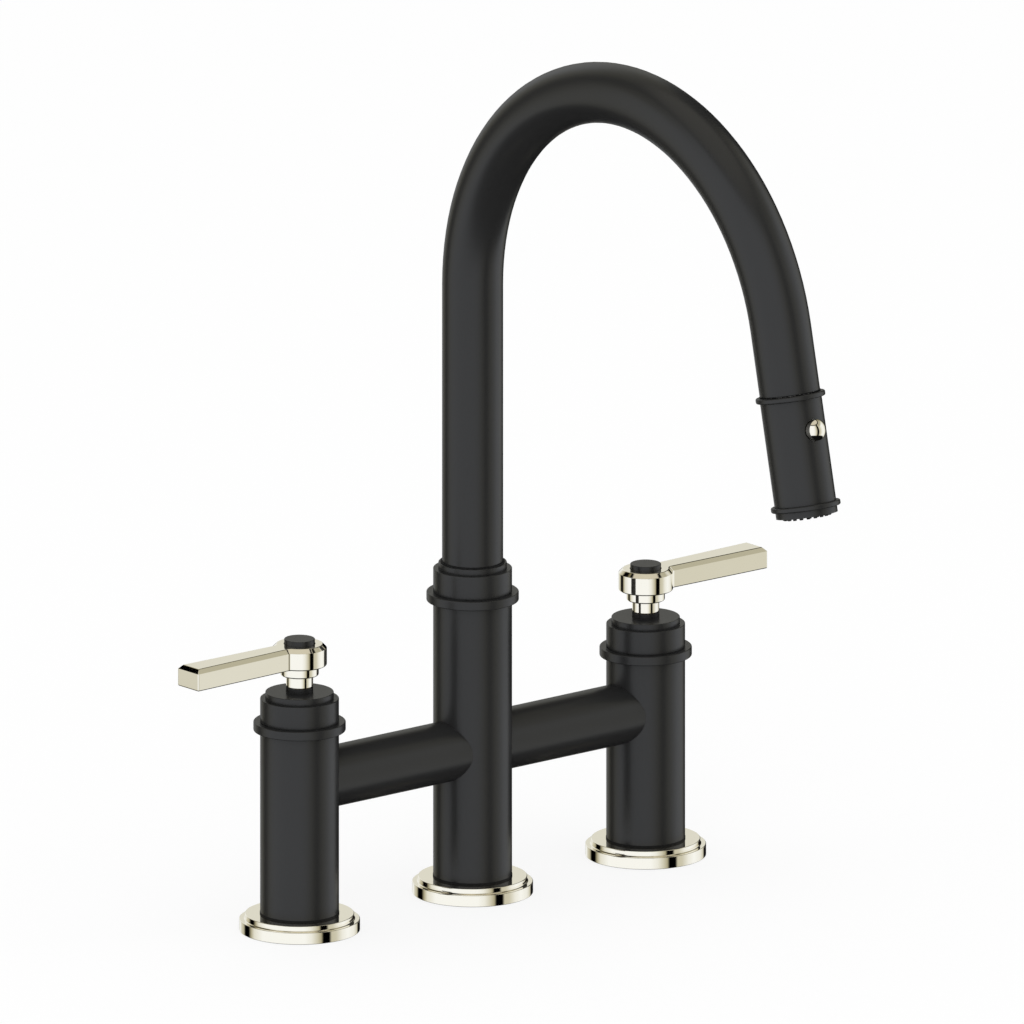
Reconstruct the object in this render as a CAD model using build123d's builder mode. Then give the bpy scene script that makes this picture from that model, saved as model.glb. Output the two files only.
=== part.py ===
from build123d import *
import math
import os

# A three-hole bridge kitchen faucet with two side levers and a pull-down spray head.
# Millimetres, +Z up. X runs along the row of posts, the spout reaches out to -Y, and the
# origin is the centre of the middle post on the deck.

os.makedirs("parts", exist_ok=True)

# ------------------------------------------------------------------ clearances
running_gap = 0.05  # radial, where one piece turns or slides in another
seat_gap = 0.02  # radial, where a piece is screwed or pushed in for good
face_gap = 0.3  # between end faces that move past each other
lapped_gap = 0.02  # between the two ceramic discs of a valve
overcut = 1.0  # how far a cutter runs past the face it leaves

# ------------------------------------------------------------------ flanges on the deck
handle_spacing = 203.2  # centre to centre of the outer posts, 8 inches
flange_radius = 27.2
flange_base_height = 5.0
flange_step_in = 2.6  # how far the upper step stands back from the rim
flange_step_height = 2.7
flange_rounding = 0.6
gasket_inset = 3.2  # from the flange's rim to the gasket
gasket_width = 7.0
gasket_thickness = 1.6

# ------------------------------------------------------------------ posts
swivel_wall = 1.38  # the middle post's wall round the swivel
foot_radius = 14.5  # the part of a post that goes through its flange
socket_depth = 14.0  # threaded socket for the mounting shank
side_socket_radius = 9.3  # G 1/2, at its minor diameter
centre_socket_radius = 11.7  # M25 x 1.5, at its minor diameter
post_bore_radius = 11.0
web_height = 6.0  # floor between a side post's socket and its bore
side_ring_level = 92.9  # underside of the decorative ring
centre_ring_level = 136.0
ring_height = 4.2
ring_lip = 3.05  # how far a ring stands out from the post
ring_rounding = 0.5
neck_step = 1.35  # wall of the bonnet that screws over the post's neck
neck_rise = 4.0  # a side post's neck above the ring

# ------------------------------------------------------------------ bonnets
side_bonnet_height = 10.7  # from the ring to the shoulder
centre_bonnet_height = 10.8
bonnet_disc_step = 2.35  # the top disc stands back from the shoulder
side_disc_height = 3.0
centre_disc_height = 2.8
bonnet_roof = 2.5
bonnet_rounding = 0.3
seam = 0.3  # shadow line where a bonnet meets its ring

# ------------------------------------------------------------------ bridge
bridge_level = 68.0
bridge_radius = 13.75
bridge_bore_radius = 12.2
bridge_spigot_radius = 8.0
bridge_spigot_wall = 1.6
bridge_spigot_short = 0.4  # the spigot ends this far short of the post's bore
bridge_shoulder = 4.0  # solid end of the tube behind the post's wall
seal_wire = 0.7  # radius of a seal's cross-section
seal_groove_width = 2.1
seal_squeeze = 0.02  # each seal stays this far inside its bore

# ------------------------------------------------------------------ valves
seat_tube_radius = 6.5
seat_tube_wall = 1.5
seat_tube_head = 1.5
valve_length = 21.1  # cartridge below the post's top
valve_radius = 9.9
valve_cavity_radius = 8.8
valve_cavity_roof = 9.6  # cavity roof below the post's top
valve_thread_height = 6.1
valve_flange_step = 2.4  # the cartridge's flange stands back from the post's neck
valve_flange_height = 2.6
valve_nose_radius = 7.5
valve_nose_height = 1.3
window_height = 5.0
window_width = 9.0
seat_seal_height = 2.5
seat_seal_proud = 0.3
valve_disc_radius = 8.6
valve_disc_thickness = 3.2
port_inner_radius = 2.0
port_outer_radius = 6.8
port_span = 80.0  # degrees
fixed_port_angle = 90.0  # the closed valve's two discs have their ports crossed
moving_port_angle = 0.0
drive_width = 3.0
drive_depth = 1.5
drive_clearance = 0.1
drive_flange_radius = 8.2

# ------------------------------------------------------------------ levers
spindle_radius = 4.95
spline_radius = 4.0
spline_teeth = 20
spline_tooth = 0.6
stem_bush_wall = 0.75
stem_ring_wall = 1.2  # wall of the black ring on the bonnet
stem_ring_height = 2.4
stem_radius = 6.1
stem_height = 5.0
stem_collar_radius = 8.65
stem_collar_height = 4.7
stem_collar_bevel = 0.5
hub_radius = 12.3
lever_reach = 65.5  # from the post's axis to the lever's end
lever_end_width = 14.5
lever_root_width = 11.8
lever_thickness = 9.9
lever_bevel = 1.9
lever_root_fillet = 2.0
spindle_grip = 2.8  # the spindle's splines go this far into the hub
screw_floor = 2.0  # solid under the screw's head
screw_radius = 1.95
screw_length = 11.0
screw_head_radius = 3.6
screw_head_height = 2.4
screw_socket_radius = 1.8  # to the corners of the hexagon for its key
screw_socket_sides = 6
screw_socket_depth = 1.2
screw_clearance = 0.15
cap_radius = 6.95
cap_proud = 2.3
cap_wall = 1.7
cap_roof = 3.0
cap_rounding = 0.35

# ------------------------------------------------------------------ spout
spout_radius = 13.75
spout_wall = 1.5
spout_spring_level = 283.2  # where the straight pipe turns into the arc
spout_bend_radius = 109.1
spout_end_tilt = 12.4  # degrees that the end leans out from straight down
spout_tail = 29.8  # straight pipe after the arc
swivel_floor = 116.0
swivel_neck_rise = 8.0  # the centre post's neck above its ring
bush_wall = 1.2
bush_count = 2
thrust_washer_height = 1.7
snap_ring_height = 1.6
snap_ring_bite = 0.55
snap_ring_proud = 0.85
snap_ring_opening = 40.0  # degrees

# ------------------------------------------------------------------ hose and its guides
hose_radius = 5.6
hose_room = 0.8  # between the hose and what guides it
conduit_wall = 1.0
conduit_head_height = 4.0
conduit_head_depth = 8.0  # from the swivel's floor down to the head
conduit_head_lip = 1.0
ferrule_radius = 6.4
water_bore_radius = 3.0

# ------------------------------------------------------------------ spray head, along its axis
neck_radius = 11.25
neck_length = 16.1  # how far the neck goes up into the spout
neck_lead = 1.5
dock_web = 2.0
dock_web_room = 4.0  # between the docked neck and the web above it
connector_head_height = 2.0
union_nut_radius = 7.95
union_nut_height = 4.7
union_stem_radius = 4.6
union_stem_length = 6.0
union_flange_radius = 6.0
union_flange_height = 2.3
union_stub_radius = 5.0
union_stub_length = 10.2
check_valve_room = 1.0  # between the connector's stub and the check valve
check_valve_length = 6.5
check_valve_guide = 2.0  # height of the spider that holds the poppet
check_valve_spoke = 0.8
check_valve_spokes = 3
poppet_radius = 2.0
head_radius = 14.0
head_shell_wall = 1.65
head_length = 49.8  # from ring to ring under ring
head_ring_height = 2.4
head_ring_lip = 1.8
head_ring_rounding = 0.7
body_short = 3.9  # the waterway body ends this far above the shell's end
skirt_height = 3.0
skirt_wall = 1.1
skirt_thread_length = 6.0
face_thickness = 2.0
face_inset = 1.0  # skirt wall around the face
nozzle_base_radius = 1.0
nozzle_tip_radius = 0.8
nozzle_bore_radius = 0.4
nozzle_height = 1.0
nozzle_rings = ((10.3, 20), (7.2, 12))  # pitch radius and count
stream_radius = 4.6
stream_wall = 1.0
stream_proud = 0.8
stream_grip = 2.6  # how far the stream former's collar stands above the face
stream_hole_radius = 0.45
stream_hole_pitch = 1.5
stream_hole_rows = 5

# ------------------------------------------------------------------ spray button
button_drop = 15.4  # below the upper ring's centre
button_radius = 4.7
button_proud = 2.2  # cylindrical side beyond the head
button_dome = 2.2  # the dome's rise above that side
button_travel = 2.5
button_depth = 2.6  # from the head's face in to the button's back
spool_radius = 3.15
spool_waist_radius = 1.8
spool_pitch = 3.2  # from the inlet to each outlet port
spool_port_height = 2.4  # along the spool
spool_port_width = 5.0  # across it
spool_land_overlap = 0.3  # how far a land covers past the port it closes
channel_wall = 1.0  # between the spool's bore and the channel beside it
spool_tail = 7.2
spool_grip = 2.0  # how far the spool goes into the button
spring_wire = 0.2
spring_wire_sides = 6
spring_radius = 3.9
spring_turns = 5
spring_length = 5.0

# ------------------------------------------------------------------ derived sizes
post_x = handle_spacing / 2
swivel_bore_radius = spout_radius + running_gap + bush_wall + seat_gap
neck_outer_radius = swivel_bore_radius + swivel_wall
post_radius = neck_outer_radius + neck_step
flange_height = flange_base_height + flange_step_height
side_post_top = side_ring_level + ring_height + neck_rise
side_shoulder_level = side_ring_level + ring_height + side_bonnet_height
side_disc_level = side_shoulder_level + side_disc_height
centre_post_top = centre_ring_level + ring_height + swivel_neck_rise
centre_shoulder_level = centre_ring_level + ring_height + centre_bonnet_height
centre_disc_level = centre_shoulder_level + centre_disc_height
disc_radius = post_radius - bonnet_disc_step
side_bore_floor = socket_depth + web_height

# A port's mouth in the round post is nearer the post's axis at its sides. The seal
# sits midway between that mouth and the spigot's end.
spigot_end = post_bore_radius + bridge_spigot_short
port_mouth = math.sqrt(post_radius**2 - bridge_spigot_radius**2)
seal_place = (spigot_end + port_mouth) / 2
shoulder_end = post_radius + bridge_shoulder
seal_places = (seal_place, post_x - seal_place)

valve_bottom = side_post_top - valve_length
seat_seal_bottom = valve_bottom - seat_seal_proud
fixed_disc_bottom = seat_seal_bottom + seat_seal_height
moving_disc_bottom = fixed_disc_bottom + valve_disc_thickness + lapped_gap
spindle_flange_bottom = moving_disc_bottom + valve_disc_thickness
valve_roof = side_post_top - valve_cavity_roof
spindle_flange_top = valve_roof - face_gap
nose_top = side_post_top + valve_flange_height + valve_nose_height
bonnet_roof_level = side_shoulder_level - bonnet_roof

stem_bush_radius = spindle_radius + running_gap + stem_bush_wall
stem_bottom = side_disc_level + stem_ring_height + face_gap
stem_collar_level = stem_bottom + stem_height
lever_level = stem_collar_level + stem_collar_height
lever_top = lever_level + lever_thickness
spindle_top = lever_level + spindle_grip
screw_seat = spindle_top + screw_floor
spline_bore_radius = spline_radius + running_gap

spout_bottom = swivel_floor + thrust_washer_height
spout_bore_radius = spout_radius - spout_wall
bush_space = centre_post_top - spout_bottom - snap_ring_height - 2 * face_gap
bush_height = (bush_space - face_gap) / bush_count
snap_ring_level = spout_bottom + face_gap + bush_height + face_gap
conduit_bore_radius = hose_radius + hose_room
conduit_radius = conduit_bore_radius + conduit_wall
conduit_seat_level = swivel_floor - conduit_head_depth - conduit_head_height
conduit_seat_radius = post_bore_radius + conduit_head_lip

# The gooseneck lies in the plane X = 0. Its arc turns through 180 degrees less the tilt.
tilt = math.radians(spout_end_tilt)
spout_arc = 180.0 - spout_end_tilt
arc_end_y = -spout_bend_radius * (1 + math.cos(tilt))
arc_end_z = spout_spring_level + spout_bend_radius * math.sin(tilt)

# The head's own frame: its Z runs down the head's axis, its Y faces the user.
head_plane = Plane(
    origin=(0, arc_end_y, arc_end_z),
    x_dir=(1, 0, 0),
    z_dir=(0, -math.sin(tilt), -math.cos(tilt)),
)
head_profile = Plane(
    origin=head_plane.origin, x_dir=head_plane.y_dir, z_dir=head_plane.x_dir
)
head_axis = Axis(head_plane.origin, head_plane.z_dir)

# Stations along the head's axis, counted from the end of the arc
upper_ring_top = spout_tail + face_gap
shell_top = upper_ring_top + head_ring_height
shell_bottom = upper_ring_top + head_length
skirt_top = shell_bottom + head_ring_height
skirt_bottom = skirt_top + skirt_height
face_top = skirt_bottom - face_thickness
neck_top = upper_ring_top - neck_length
union_nut_bottom = neck_top + union_nut_height
union_flange_top = union_nut_bottom + face_gap
union_flange_bottom = union_flange_top + union_flange_height
union_ledge = union_flange_bottom + face_gap
union_stub_bottom = union_flange_bottom + union_stub_length
connector_top = union_flange_top - union_stem_length
ferrule_bottom = connector_top - connector_head_height
dock_top = neck_top - dock_web_room - dock_web
button_station = upper_ring_top + head_ring_height / 2 + button_drop
head_bore_radius = head_radius - head_shell_wall
body_radius = head_bore_radius - seat_gap
body_bottom = shell_bottom - body_short
head_ring_radius = head_radius + head_ring_lip
button_back = head_radius - button_depth
button_floor = button_back - button_travel - face_gap
spring_seat = button_back - spring_length

valve_station = union_stub_bottom + check_valve_room
inlet_end = valve_station + check_valve_length
spray_channel_radius = spool_port_height / 2
spray_channel_station = button_station + spool_radius + channel_wall + spray_channel_radius
spray_channel_offset = stream_radius + stream_wall + channel_wall + spray_channel_radius
stream_bore_top = spray_channel_station + spray_channel_radius + 2 * channel_wall
stream_tube_bottom = face_top - stream_grip

# The button's own frame: its Z points out of the head.
button_plane = Plane(
    origin=head_plane.from_local_coords(Vector(0, 0, button_station)),
    x_dir=head_plane.x_dir,
    z_dir=head_plane.y_dir,
)
button_profile = Plane(
    origin=button_plane.origin, x_dir=button_plane.x_dir, z_dir=-button_plane.y_dir
)


def upright_profile(x):
    """Half-section plane through a post: local X is the radius, local Y the height."""
    return Plane(origin=(x, 0, 0), x_dir=(1, 0, 0), z_dir=(0, -1, 0))


def turned(plane, *corners, mode=Mode.ADD):
    """Revolve a closed outline of (radius, height) corners about the plane's Y axis."""
    with BuildSketch(plane) as outline:
        with BuildLine():
            Polyline(*corners, close=True)
        make_face()
    revolve(outline.sketch, axis=Axis(plane.origin, plane.y_dir), mode=mode)


def bar(plane, low, high, radius, inner=0.0, mode=Mode.ADD):
    """A round bar or tube along the plane's normal, from one station to another."""
    with BuildSketch(plane.offset(low)) as section:
        Circle(radius)
        if inner > 0:
            Circle(inner, mode=Mode.SUBTRACT)
    extrude(section.sketch, amount=high - low, mode=mode)


def sector_ports(plane, thickness, middle_angle):
    """Cut the two opposite sector ports of a ceramic disc."""
    half = port_span / 2
    for middle in (middle_angle, middle_angle + 180):
        with BuildSketch(plane) as port:
            with BuildLine():
                outer = CenterArc((0, 0), port_outer_radius, middle - half, port_span)
                inner = CenterArc((0, 0), port_inner_radius, middle - half, port_span)
                Line(inner @ 0, outer @ 0)
                Line(inner @ 1, outer @ 1)
            make_face()
        extrude(port.sketch, amount=thickness, mode=Mode.SUBTRACT)


def outer_rim(piece, axis, end):
    """The widest circular edge at one end of a turned piece."""
    level = piece.edges().filter_by(GeomType.CIRCLE).group_by(axis)[end]
    return level.sort_by(SortBy.RADIUS)[-1]


# ================================================================== deck flanges
for name, x in (("hot", -post_x), ("centre", 0.0), ("cold", post_x)):
    with BuildPart() as flange:
        turned(
            upright_profile(x),
            (foot_radius + seat_gap, 0),
            (flange_radius, 0),
            (flange_radius, flange_base_height),
            (flange_radius - flange_step_in, flange_base_height),
            (flange_radius - flange_step_in, flange_height),
            (foot_radius + seat_gap, flange_height),
        )
        rims = flange.edges().filter_by(GeomType.CIRCLE)
        rim_edges = [
            rims.filter_by_position(Axis.Z, level, level).sort_by(SortBy.RADIUS)[-1]
            for level in (flange_base_height, flange_height)
        ]
        fillet(rim_edges, radius=flange_rounding)
        bar(
            Plane(origin=(x, 0, 0)),
            0,
            gasket_thickness,
            flange_radius - gasket_inset,
            flange_radius - gasket_inset - gasket_width,
            mode=Mode.SUBTRACT,
        )
    flange.part.label = f"{name}_flange"
    export_step(flange.part, f"parts/{name}_flange.step")

with BuildPart() as gaskets:
    for x in (-post_x, 0.0, post_x):
        bar(
            Plane(origin=(x, 0, 0)),
            0,
            gasket_thickness,
            flange_radius - gasket_inset - seat_gap,
            flange_radius - gasket_inset - gasket_width + seat_gap,
        )
gaskets.part.label = "deck_gaskets"
export_step(gaskets.part, "parts/deck_gaskets.step")

# ================================================================== outer posts and valves
for side, toward_centre in (("hot", 1), ("cold", -1)):
    x = -toward_centre * post_x
    section = upright_profile(x)
    post_plane = Plane(origin=(x, 0, 0))

    with BuildPart() as post:
        turned(
            section,
            (side_socket_radius, 0),
            (foot_radius, 0),
            (foot_radius, flange_height),
            (post_radius, flange_height),
            (post_radius, side_ring_level),
            (neck_outer_radius, side_ring_level),
            (neck_outer_radius, side_post_top),
            (post_bore_radius, side_post_top),
            (post_bore_radius, side_bore_floor),
            (seat_tube_radius + seat_gap, side_bore_floor),
            (seat_tube_radius + seat_gap, socket_depth),
            (side_socket_radius, socket_depth),
        )
        with BuildSketch(Plane(origin=(x, 0, bridge_level), z_dir=(toward_centre, 0, 0))):
            Circle(bridge_spigot_radius + seat_gap)
        extrude(amount=post_radius + overcut, mode=Mode.SUBTRACT)
    post.part.label = f"{side}_post"
    export_step(post.part, f"parts/{side}_post.step")

    with BuildPart() as ring:
        bar(
            post_plane,
            side_ring_level,
            side_ring_level + ring_height,
            post_radius + ring_lip,
            neck_outer_radius + seat_gap,
        )
        fillet([outer_rim(ring, Axis.Z, 0), outer_rim(ring, Axis.Z, -1)], ring_rounding)
    ring.part.label = f"{side}_post_ring"
    export_step(ring.part, f"parts/{side}_post_ring.step")

    with BuildPart() as bonnet:
        turned(
            section,
            (neck_outer_radius + seat_gap, side_ring_level + ring_height),
            (post_radius - seam, side_ring_level + ring_height),
            (post_radius - seam, side_ring_level + ring_height + seam),
            (post_radius, side_ring_level + ring_height + seam),
            (post_radius, side_shoulder_level),
            (disc_radius, side_shoulder_level),
            (disc_radius, side_disc_level),
            (stem_bush_radius + seat_gap, side_disc_level),
            (stem_bush_radius + seat_gap, bonnet_roof_level),
            (neck_outer_radius + seat_gap, bonnet_roof_level),
        )
        circles = bonnet.edges().filter_by(GeomType.CIRCLE)
        fillet(
            [
                circles.filter_by_position(Axis.Z, z, z).sort_by(SortBy.RADIUS)[-1]
                for z in (side_shoulder_level, side_disc_level)
            ],
            bonnet_rounding,
        )
    bonnet.part.label = f"{side}_bonnet"
    export_step(bonnet.part, f"parts/{side}_bonnet.step")

    with BuildPart() as seat_tube:
        seat_head_bottom = seat_seal_bottom - seat_tube_head
        turned(
            section,
            (seat_tube_radius - seat_tube_wall, socket_depth),
            (seat_tube_radius, socket_depth),
            (seat_tube_radius, seat_head_bottom),
            (valve_disc_radius, seat_head_bottom),
            (valve_disc_radius, seat_seal_bottom),
            (seat_tube_radius - seat_tube_wall, seat_seal_bottom),
        )
    seat_tube.part.label = f"{side}_seat_tube"
    export_step(seat_tube.part, f"parts/{side}_seat_tube.step")

    with BuildPart() as cartridge:
        turned(
            section,
            (valve_cavity_radius, valve_bottom),
            (valve_radius, valve_bottom),
            (valve_radius, side_post_top - valve_thread_height),
            (post_bore_radius - running_gap, side_post_top - valve_thread_height),
            (post_bore_radius - running_gap, side_post_top),
            (neck_outer_radius - valve_flange_step, side_post_top),
            (neck_outer_radius - valve_flange_step, side_post_top + valve_flange_height),
            (valve_nose_radius, side_post_top + valve_flange_height),
            (valve_nose_radius, nose_top),
            (spindle_radius + running_gap, nose_top),
            (spindle_radius + running_gap, valve_roof),
            (valve_cavity_radius, valve_roof),
        )
        with BuildSketch(Plane(origin=(x, 0, moving_disc_bottom), z_dir=(0, 1, 0))):
            Rectangle(window_width, window_height, align=(Align.CENTER, Align.MIN))
        extrude(amount=valve_radius + overcut, both=True, mode=Mode.SUBTRACT)
    cartridge.part.label = f"{side}_cartridge"
    export_step(cartridge.part, f"parts/{side}_cartridge.step")

    with BuildPart() as fixed_disc:
        bar(
            post_plane,
            fixed_disc_bottom,
            fixed_disc_bottom + valve_disc_thickness,
            valve_disc_radius,
        )
        sector_ports(post_plane.offset(fixed_disc_bottom), valve_disc_thickness, fixed_port_angle)
    fixed_disc.part.label = f"{side}_fixed_disc"
    export_step(fixed_disc.part, f"parts/{side}_fixed_disc.step")

    with BuildPart() as moving_disc:
        bar(
            post_plane,
            moving_disc_bottom,
            moving_disc_bottom + valve_disc_thickness,
            valve_cavity_radius - face_gap,
        )
        sector_ports(post_plane.offset(moving_disc_bottom), valve_disc_thickness, moving_port_angle)
        slot_depth = drive_depth + drive_clearance
        with BuildSketch(post_plane.offset(spindle_flange_bottom - slot_depth)):
            Rectangle(drive_width + 2 * drive_clearance, 2 * valve_cavity_radius)
        extrude(amount=slot_depth, mode=Mode.SUBTRACT)
    moving_disc.part.label = f"{side}_moving_disc"
    export_step(moving_disc.part, f"parts/{side}_moving_disc.step")

    with BuildPart() as spindle:
        bar(post_plane, spindle_flange_bottom, spindle_flange_top, drive_flange_radius)
        with BuildSketch(post_plane.offset(spindle_flange_bottom - drive_depth)):
            Rectangle(drive_width, 2 * drive_flange_radius - 2 * running_gap)
            with BuildSketch(mode=Mode.PRIVATE) as drive_round:
                Circle(drive_flange_radius)
            add(drive_round.sketch, mode=Mode.INTERSECT)
        extrude(amount=drive_depth)
        bar(post_plane, spindle_flange_top, stem_bottom, spindle_radius)
        with BuildSketch(post_plane.offset(stem_bottom)):
            Circle(spline_radius - spline_tooth / 2)
            with PolarLocations(spline_radius - spline_tooth / 2, spline_teeth):
                Rectangle(spline_tooth, spline_tooth)
        extrude(amount=spindle_top - stem_bottom)
        bar(
            post_plane,
            screw_seat - screw_length,
            spindle_top,
            screw_radius + running_gap,
            mode=Mode.SUBTRACT,
        )
    spindle.part.label = f"{side}_spindle"
    export_step(spindle.part, f"parts/{side}_spindle.step")

    with BuildPart() as stem_bush:
        turned(
            section,
            (spindle_radius + running_gap, nose_top + face_gap),
            (stem_bush_radius, nose_top + face_gap),
            (stem_bush_radius, side_disc_level),
            (spindle_radius + stem_ring_wall, side_disc_level),
            (spindle_radius + stem_ring_wall, side_disc_level + stem_ring_height),
            (spindle_radius + running_gap, side_disc_level + stem_ring_height),
        )
    stem_bush.part.label = f"{side}_stem_bush"
    export_step(stem_bush.part, f"parts/{side}_stem_bush.step")

    with BuildPart() as stem:
        turned(
            section,
            (spline_bore_radius, stem_bottom),
            (stem_radius, stem_bottom),
            (stem_radius, stem_collar_level),
            (stem_collar_radius - stem_collar_bevel, stem_collar_level),
            (stem_collar_radius, stem_collar_level + stem_collar_bevel),
            (stem_collar_radius, lever_level),
            (spline_bore_radius, lever_level),
        )
    stem.part.label = f"{side}_lever_stem"
    export_step(stem.part, f"parts/{side}_lever_stem.step")

    with BuildPart() as lever:
        lever_plane = Plane(
            origin=(x, 0, lever_level), x_dir=(-toward_centre, 0, 0), z_dir=(0, 0, 1)
        )
        with BuildSketch(lever_plane) as lever_outline:
            with BuildLine():
                Polyline(
                    (0, -lever_root_width / 2),
                    (lever_reach, -lever_end_width / 2),
                    (lever_reach, lever_end_width / 2),
                    (0, lever_root_width / 2),
                    close=True,
                )
            make_face()
            Circle(hub_radius)
            fillet(lever_outline.vertices().sort_by(Axis.X)[:2], lever_root_fillet)
        extrude(amount=lever_thickness)
        top_face = lever.faces().sort_by(Axis.Z)[-1]
        chamfer(top_face.outer_wire().edges(), lever_bevel)
        bar(post_plane, lever_level, spindle_top, spline_bore_radius, mode=Mode.SUBTRACT)
        bar(
            post_plane,
            spindle_top,
            screw_seat,
            screw_radius + screw_clearance,
            mode=Mode.SUBTRACT,
        )
        bar(post_plane, screw_seat, lever_top, cap_radius + seat_gap, mode=Mode.SUBTRACT)
    lever.part.label = f"{side}_lever"
    export_step(lever.part, f"parts/{side}_lever.step")

    with BuildPart() as screw:
        turned(
            section,
            (0, screw_seat - screw_length + face_gap),
            (screw_radius, screw_seat - screw_length + face_gap),
            (screw_radius, screw_seat),
            (screw_head_radius, screw_seat),
            (screw_head_radius, screw_seat + screw_head_height),
            (0, screw_seat + screw_head_height),
        )
        with BuildSketch(post_plane.offset(screw_seat + screw_head_height)):
            RegularPolygon(radius=screw_socket_radius, side_count=screw_socket_sides)
        extrude(amount=-screw_socket_depth, mode=Mode.SUBTRACT)
    screw.part.label = f"{side}_lever_screw"
    export_step(screw.part, f"parts/{side}_lever_screw.step")

    with BuildPart() as cap:
        cap_top = lever_top + cap_proud
        turned(
            section,
            (cap_radius - cap_wall, screw_seat),
            (cap_radius, screw_seat),
            (cap_radius, cap_top),
            (0, cap_top),
            (0, cap_top - cap_roof),
            (cap_radius - cap_wall, cap_top - cap_roof),
        )
        fillet(outer_rim(cap, Axis.Z, -1), cap_rounding)
    cap.part.label = f"{side}_lever_cap"
    export_step(cap.part, f"parts/{side}_lever_cap.step")

    # The bridge tube's ends are cut to the round of the posts, and its spigots go in.
    bridge_centre = Plane(origin=(x, 0, bridge_level), z_dir=(toward_centre, 0, 0))
    with BuildPart() as bridge_tube:
        bar(bridge_centre, spigot_end, post_x - spigot_end, bridge_radius)
        for post_place in (x, 0.0):
            bar(
                Plane(origin=(post_place, 0, bridge_level)),
                -2 * bridge_radius,
                2 * bridge_radius,
                post_radius + seat_gap,
                mode=Mode.SUBTRACT,
            )
        bar(bridge_centre, spigot_end, post_x - spigot_end, bridge_spigot_radius)
        bar(
            bridge_centre,
            spigot_end,
            post_x - spigot_end,
            bridge_spigot_radius - bridge_spigot_wall,
            mode=Mode.SUBTRACT,
        )
        bar(
            bridge_centre,
            shoulder_end,
            post_x - shoulder_end,
            bridge_bore_radius,
            mode=Mode.SUBTRACT,
        )
        groove_floor = bridge_spigot_radius - 2 * seal_wire
        for place in seal_places:
            bar(
                bridge_centre,
                place - seal_groove_width / 2,
                place + seal_groove_width / 2,
                bridge_spigot_radius + seat_gap,
                groove_floor,
                mode=Mode.SUBTRACT,
            )
    bridge_tube.part.label = f"{side}_bridge_tube"
    export_step(bridge_tube.part, f"parts/{side}_bridge_tube.step")

# Identical seals share one node each.
with BuildPart() as bridge_seals:
    for toward_centre in (1, -1):
        for place in seal_places:
            seal_x = -toward_centre * (post_x - place)
            seal_radius = bridge_spigot_radius - seal_wire - seal_squeeze
            seal_plane = Plane(
                origin=(seal_x, 0, bridge_level), x_dir=(1, 0, 0), z_dir=(0, -1, 0)
            )
            with BuildSketch(seal_plane) as seal_section:
                with Locations((0, seal_radius)):
                    Circle(seal_wire - seal_squeeze)
            revolve(seal_section.sketch, axis=Axis((seal_x, 0, bridge_level), (1, 0, 0)))
bridge_seals.part.label = "bridge_seals"
export_step(bridge_seals.part, "parts/bridge_seals.step")

with BuildPart() as seat_seals:
    for x in (-post_x, post_x):
        bar(
            Plane(origin=(x, 0, 0)),
            seat_seal_bottom,
            fixed_disc_bottom,
            valve_disc_radius,
            port_outer_radius,
        )
seat_seals.part.label = "seat_seals"
export_step(seat_seals.part, "parts/seat_seals.step")

# ================================================================== centre post and swivel
centre_section = upright_profile(0)

with BuildPart() as centre_post:
    turned(
        centre_section,
        (centre_socket_radius, 0),
        (foot_radius, 0),
        (foot_radius, flange_height),
        (post_radius, flange_height),
        (post_radius, centre_ring_level),
        (neck_outer_radius, centre_ring_level),
        (neck_outer_radius, centre_post_top),
        (swivel_bore_radius, centre_post_top),
        (swivel_bore_radius, swivel_floor),
        (conduit_seat_radius, swivel_floor),
        (conduit_seat_radius, conduit_seat_level),
        (post_bore_radius, conduit_seat_level),
        (post_bore_radius, socket_depth),
        (centre_socket_radius, socket_depth),
    )
    with BuildSketch(Plane(origin=(0, 0, bridge_level), z_dir=(1, 0, 0))):
        Circle(bridge_spigot_radius + seat_gap)
    extrude(amount=post_radius + overcut, both=True, mode=Mode.SUBTRACT)
centre_post.part.label = "centre_post"
export_step(centre_post.part, "parts/centre_post.step")

with BuildPart() as centre_ring:
    bar(
        Plane.XY,
        centre_ring_level,
        centre_ring_level + ring_height,
        post_radius + ring_lip,
        neck_outer_radius + seat_gap,
    )
    centre_rims = [outer_rim(centre_ring, Axis.Z, 0), outer_rim(centre_ring, Axis.Z, -1)]
    fillet(centre_rims, ring_rounding)
centre_ring.part.label = "centre_post_ring"
export_step(centre_ring.part, "parts/centre_post_ring.step")

with BuildPart() as centre_bonnet:
    centre_ring_top = centre_ring_level + ring_height
    turned(
        centre_section,
        (neck_outer_radius + seat_gap, centre_ring_top),
        (post_radius - seam, centre_ring_top),
        (post_radius - seam, centre_ring_top + seam),
        (post_radius, centre_ring_top + seam),
        (post_radius, centre_shoulder_level),
        (disc_radius, centre_shoulder_level),
        (disc_radius, centre_disc_level),
        (spout_radius + running_gap, centre_disc_level),
        (spout_radius + running_gap, centre_post_top),
        (neck_outer_radius + seat_gap, centre_post_top),
    )
    centre_circles = centre_bonnet.edges().filter_by(GeomType.CIRCLE)
    fillet(
        [
            centre_circles.filter_by_position(Axis.Z, z, z).sort_by(SortBy.RADIUS)[-1]
            for z in (centre_shoulder_level, centre_disc_level)
        ],
        bonnet_rounding,
    )
centre_bonnet.part.label = "centre_bonnet"
export_step(centre_bonnet.part, "parts/centre_bonnet.step")

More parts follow.
